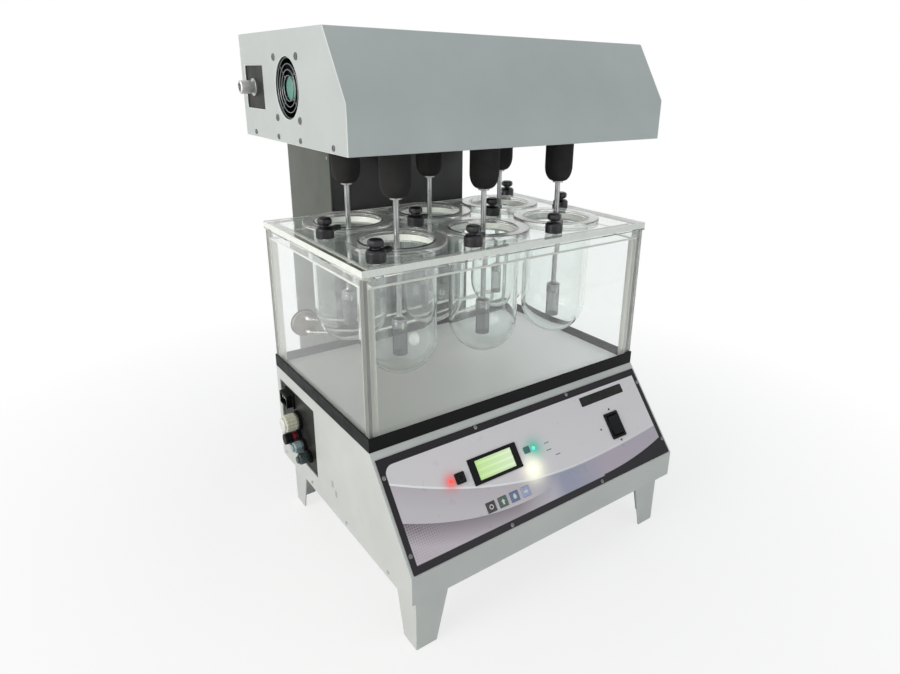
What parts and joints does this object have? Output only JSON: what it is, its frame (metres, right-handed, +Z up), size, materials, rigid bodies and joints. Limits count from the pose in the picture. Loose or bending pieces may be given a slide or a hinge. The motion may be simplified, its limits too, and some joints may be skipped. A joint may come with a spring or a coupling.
{
  "type": "dissolution tester",
  "caption": "Bench dissolution tester: a clear heated bath with glass vessels, rotating basket shafts under a lifting drive head, and a sloping control panel on a legged base.",
  "frame": {"origin": "middle of the object's own box, on the bench under its feet", "axes": "+Z up, -Y towards the sloping control panel, +X to the right as one faces the panel"},
  "size_m": [0.55, 0.625, 0.7815],
  "materials": {
    "grey_coat": "fine satin powder coat",
    "black_coat": "satin black coat",
    "panel_face": "printed satin overlay",
    "bright_steel": "polished stainless steel",
    "mesh_steel": "woven wire",
    "black_plastic": "moulded black plastic",
    "dark_plate": "dark sheet",
    "cream_plastic": "moulded plastic",
    "clear_acrylic": "clear cast sheet with bright edges",
    "vessel_glass": "clear glass",
    "black_trim": "black trim",
    "plain_aluminium": "machined",
    "brass": "turned",
    "black_rubber": "belt",
    "key_plastic": "membrane key"
  },
  "bodies": {
    "root": {"base_cabinet": "grey_coat", "base_floor": "grey_coat", "legs": "grey_coat", "control_panel": "panel_face", "panel_screws": "bright_steel", "display_board": "black_plastic", "switch_frame": "black_plastic", "side_plate": "dark_plate", "mains_inlet": "black_plastic", "side_fittings": "cream_plastic", "tank": "clear_acrylic", "tank_trim": "black_trim", "tank_lid": "clear_acrylic", "heater_tube": "bright_steel", "vessels": "vessel_glass", "column_housing": "grey_coat", "column_front": "black_coat", "rod_guides": "plain_aluminium", "lift_actuator": "black_coat"},
    "head": {"head_cover": "grey_coat", "head_floor": "grey_coat", "fan_frame": "black_plastic", "head_connector": "dark_plate", "drive_motor": "black_coat", "drive_belt": "black_rubber", "lift_yoke": "plain_aluminium", "lift_rods": "bright_steel"},
    "motor_drive": {"motor_pulley": "brass"},
    "fan": {"fan_rotor": "black_plastic"},
    "switch": {"lift_switch": "black_plastic"},
    "key_1": {"button_1": "key_plastic"},
    "key_2": {"button_2": "key_plastic"},
    "key_3": {"button_3": "key_plastic"},
    "key_4": {"button_4": "key_plastic"},
    "hold_1": {"clamp_1": "black_plastic"},
    "hold_2": {"clamp_2": "black_plastic"},
    "hold_3": {"clamp_3": "black_plastic"},
    "hold_4": {"clamp_4": "black_plastic"},
    "hold_5": {"clamp_5": "black_plastic"},
    "hold_6": {"clamp_6": "black_plastic"},
    "hold_7": {"clamp_7": "black_plastic"},
    "hold_8": {"clamp_8": "black_plastic"},
    "spindle_1": {"chuck_1": "black_plastic", "shaft_1": "bright_steel", "basket_1": "mesh_steel"},
    "spindle_2": {"chuck_2": "black_plastic", "shaft_2": "bright_steel", "basket_2": "mesh_steel"},
    "spindle_3": {"chuck_3": "black_plastic", "shaft_3": "bright_steel", "basket_3": "mesh_steel"},
    "spindle_4": {"chuck_4": "black_plastic", "shaft_4": "bright_steel", "basket_4": "mesh_steel"},
    "spindle_5": {"chuck_5": "black_plastic", "shaft_5": "bright_steel", "basket_5": "mesh_steel"},
    "spindle_6": {"chuck_6": "black_plastic", "shaft_6": "bright_steel", "basket_6": "mesh_steel"}
  },
  "joints": [
    {"name": "head_lift", "type": "slide", "parent": "root", "child": "head", "axis": [0, 0, 1], "range_m": [0, 0.18]},
    {"name": "motor_spin", "type": "hinge", "parent": "head", "child": "motor_drive", "pos_m": [0.085, 0.0475, 0.6785], "axis": [0, 0, 1], "continuous": true},
    {"name": "spindle_1_spin", "type": "hinge", "parent": "head", "child": "spindle_1", "pos_m": [-0.14, -0.1105, 0.6785], "axis": [0, 0, 1], "continuous": true},
    {"name": "spindle_2_spin", "type": "hinge", "parent": "head", "child": "spindle_2", "pos_m": [0.01, -0.1105, 0.6785], "axis": [0, 0, 1], "continuous": true},
    {"name": "spindle_3_spin", "type": "hinge", "parent": "head", "child": "spindle_3", "pos_m": [0.16, -0.1105, 0.6785], "axis": [0, 0, 1], "continuous": true},
    {"name": "spindle_4_spin", "type": "hinge", "parent": "head", "child": "spindle_4", "pos_m": [-0.14, 0.0395, 0.6785], "axis": [0, 0, 1], "continuous": true},
    {"name": "spindle_5_spin", "type": "hinge", "parent": "head", "child": "spindle_5", "pos_m": [0.01, 0.0395, 0.6785], "axis": [0, 0, 1], "continuous": true},
    {"name": "spindle_6_spin", "type": "hinge", "parent": "head", "child": "spindle_6", "pos_m": [0.16, 0.0395, 0.6785], "axis": [0, 0, 1], "continuous": true},
    {"name": "fan_spin", "type": "hinge", "parent": "head", "child": "fan", "pos_m": [-0.241, -0.0415, 0.7125], "axis": [1, 0, 0], "continuous": true},
    {"name": "switch_rock", "type": "hinge", "parent": "root", "child": "switch", "pos_m": [0.171, -0.26184, 0.19394], "axis": [1, 0, 0], "range_deg": [-9, 9], "stiffness_Nm_per_rad": 0.4},
    {"name": "key_1_press", "type": "slide", "parent": "root", "child": "key_1", "axis": [0, 0.7779, -0.6284], "range_m": [0, 0.0005], "stiffness_N_per_m": 900, "springref_m": -0.0002},
    {"name": "key_2_press", "type": "slide", "parent": "root", "child": "key_2", "axis": [0, 0.7779, -0.6284], "range_m": [0, 0.0005], "stiffness_N_per_m": 900, "springref_m": -0.0002},
    {"name": "key_3_press", "type": "slide", "parent": "root", "child": "key_3", "axis": [0, 0.7779, -0.6284], "range_m": [0, 0.0005], "stiffness_N_per_m": 900, "springref_m": -0.0002},
    {"name": "key_4_press", "type": "slide", "parent": "root", "child": "key_4", "axis": [0, 0.7779, -0.6284], "range_m": [0, 0.0005], "stiffness_N_per_m": 900, "springref_m": -0.0002},
    {"name": "hold_1_turn", "type": "hinge", "parent": "root", "child": "hold_1", "pos_m": [-0.21, -0.1805, 0.5115], "axis": [0, 0, 1], "range_deg": [-120, 0]},
    {"name": "hold_2_turn", "type": "hinge", "parent": "root", "child": "hold_2", "pos_m": [-0.06, -0.1805, 0.5115], "axis": [0, 0, 1], "range_deg": [-120, 0]},
    {"name": "hold_3_turn", "type": "hinge", "parent": "root", "child": "hold_3", "pos_m": [0.09, -0.1805, 0.5115], "axis": [0, 0, 1], "range_deg": [-120, 0]},
    {"name": "hold_4_turn", "type": "hinge", "parent": "root", "child": "hold_4", "pos_m": [-0.21, -0.0305, 0.5115], "axis": [0, 0, 1], "range_deg": [-120, 0]},
    {"name": "hold_5_turn", "type": "hinge", "parent": "root", "child": "hold_5", "pos_m": [-0.06, -0.0305, 0.5115], "axis": [0, 0, 1], "range_deg": [-120, 0]},
    {"name": "hold_6_turn", "type": "hinge", "parent": "root", "child": "hold_6", "pos_m": [0.09, -0.0305, 0.5115], "axis": [0, 0, 1], "range_deg": [-120, 0]},
    {"name": "hold_7_turn", "type": "hinge", "parent": "root", "child": "hold_7", "pos_m": [0.23, -0.0475, 0.5115], "axis": [0, 0, 1], "range_deg": [-120, 0]},
    {"name": "hold_8_turn", "type": "hinge", "parent": "root", "child": "hold_8", "pos_m": [0.23, 0.1025, 0.5115], "axis": [0, 0, 1], "range_deg": [-120, 0]}
  ],
  "couplings": [
    {"joint": "spindle_1_spin", "follows": "motor_spin", "ratio": 0.6},
    {"joint": "spindle_2_spin", "follows": "motor_spin", "ratio": 0.6},
    {"joint": "spindle_3_spin", "follows": "motor_spin", "ratio": 0.6},
    {"joint": "spindle_4_spin", "follows": "motor_spin", "ratio": 0.6},
    {"joint": "spindle_5_spin", "follows": "motor_spin", "ratio": 0.6},
    {"joint": "spindle_6_spin", "follows": "motor_spin", "ratio": 0.6}
  ]
}
